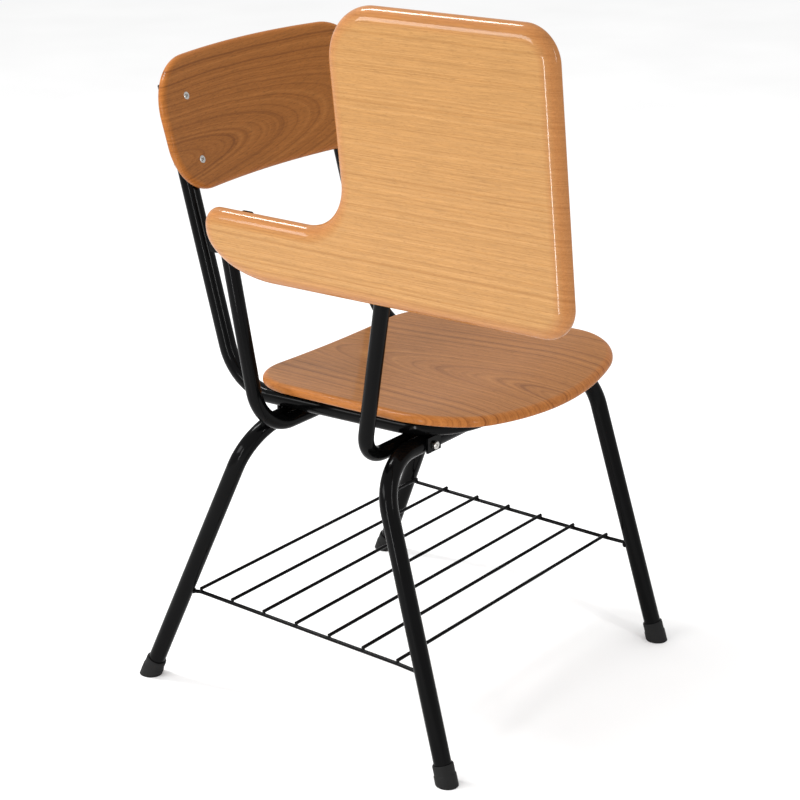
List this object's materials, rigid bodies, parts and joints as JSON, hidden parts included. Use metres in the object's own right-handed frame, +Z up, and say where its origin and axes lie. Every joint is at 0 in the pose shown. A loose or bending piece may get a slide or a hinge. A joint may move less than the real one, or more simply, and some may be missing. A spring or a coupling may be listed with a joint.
{
  "type": "student desk chair",
  "caption": "Tubular steel school chair with moulded wooden seat and back, a book rack under the seat and a flip-up wooden writing tablet on the sitter's right.",
  "frame": {"origin": "centre of the whole chair's bounding box in plan, on the floor", "axes": "+Z up, the chair faces -Y, the sitter's right and the tablet are on the -X side"},
  "size_m": [0.5808, 0.7051, 0.9362],
  "materials": {
    "tablet_wood": "clear satin varnish over pale beech",
    "seat_wood": "clear gloss varnish over steamed beech",
    "rubber": "moulded black rubber",
    "black_plastic": "moulded black plastic",
    "zinc_steel": "bright zinc plate",
    "black_paint": "gloss black powder coat on steel tube and wire"
  },
  "bodies": {
    "chair": {"backrest_nuts": "zinc_steel", "backrest_panel": "seat_wood", "backrest_screws": "zinc_steel", "backrest_spacers": "black_plastic", "foot_front_left": "rubber", "foot_front_right": "rubber", "foot_rear_left": "rubber", "foot_rear_right": "rubber", "front_arm_end_plug": "black_plastic", "front_arm_top_plug": "black_plastic", "front_arm_tube": "black_paint", "front_gusset_screws": "zinc_steel", "front_gussets": "black_paint", "front_leg_frame": "black_paint", "front_rest_bracket": "black_paint", "front_rest_pad": "rubber", "pivot_bolts": "zinc_steel", "pivot_nuts": "zinc_steel", "pivot_spacers": "black_plastic", "rack_cross_wire_1": "black_paint", "rack_cross_wire_2": "black_paint", "rack_cross_wire_3": "black_paint", "rack_cross_wire_4": "black_paint", "rack_cross_wire_5": "black_paint", "rack_cross_wire_6": "black_paint", "rack_cross_wire_7": "black_paint", "rack_side_wire_left": "black_paint", "rack_side_wire_right": "black_paint", "rear_arm_end_plug": "black_plastic", "rear_arm_top_plug": "black_plastic", "rear_arm_tube": "black_paint", "rear_gusset_screws": "zinc_steel", "rear_gussets": "black_paint", "rear_leg_frame": "black_paint", "rear_rest_bracket": "black_paint", "rear_rest_pad": "rubber", "seat_back_frame": "black_paint", "seat_mount_plates": "black_paint", "seat_panel": "seat_wood", "seat_screws": "zinc_steel", "upright_plug_left": "black_plastic", "upright_plug_right": "black_plastic"},
    "tablet_board": {"tablet": "tablet_wood", "front_hinge_leaf": "black_paint", "rear_hinge_leaf": "black_paint", "leaf_screws": "zinc_steel"}
  },
  "joints": [
    {"name": "tablet_hinge", "type": "hinge", "parent": "chair", "child": "tablet_board", "pos_m": [-0.22243, -0.02543, 0.61775], "axis": [0.0331, 0.9985, -0.0436], "range_deg": [0, 94.7]}
  ]
}
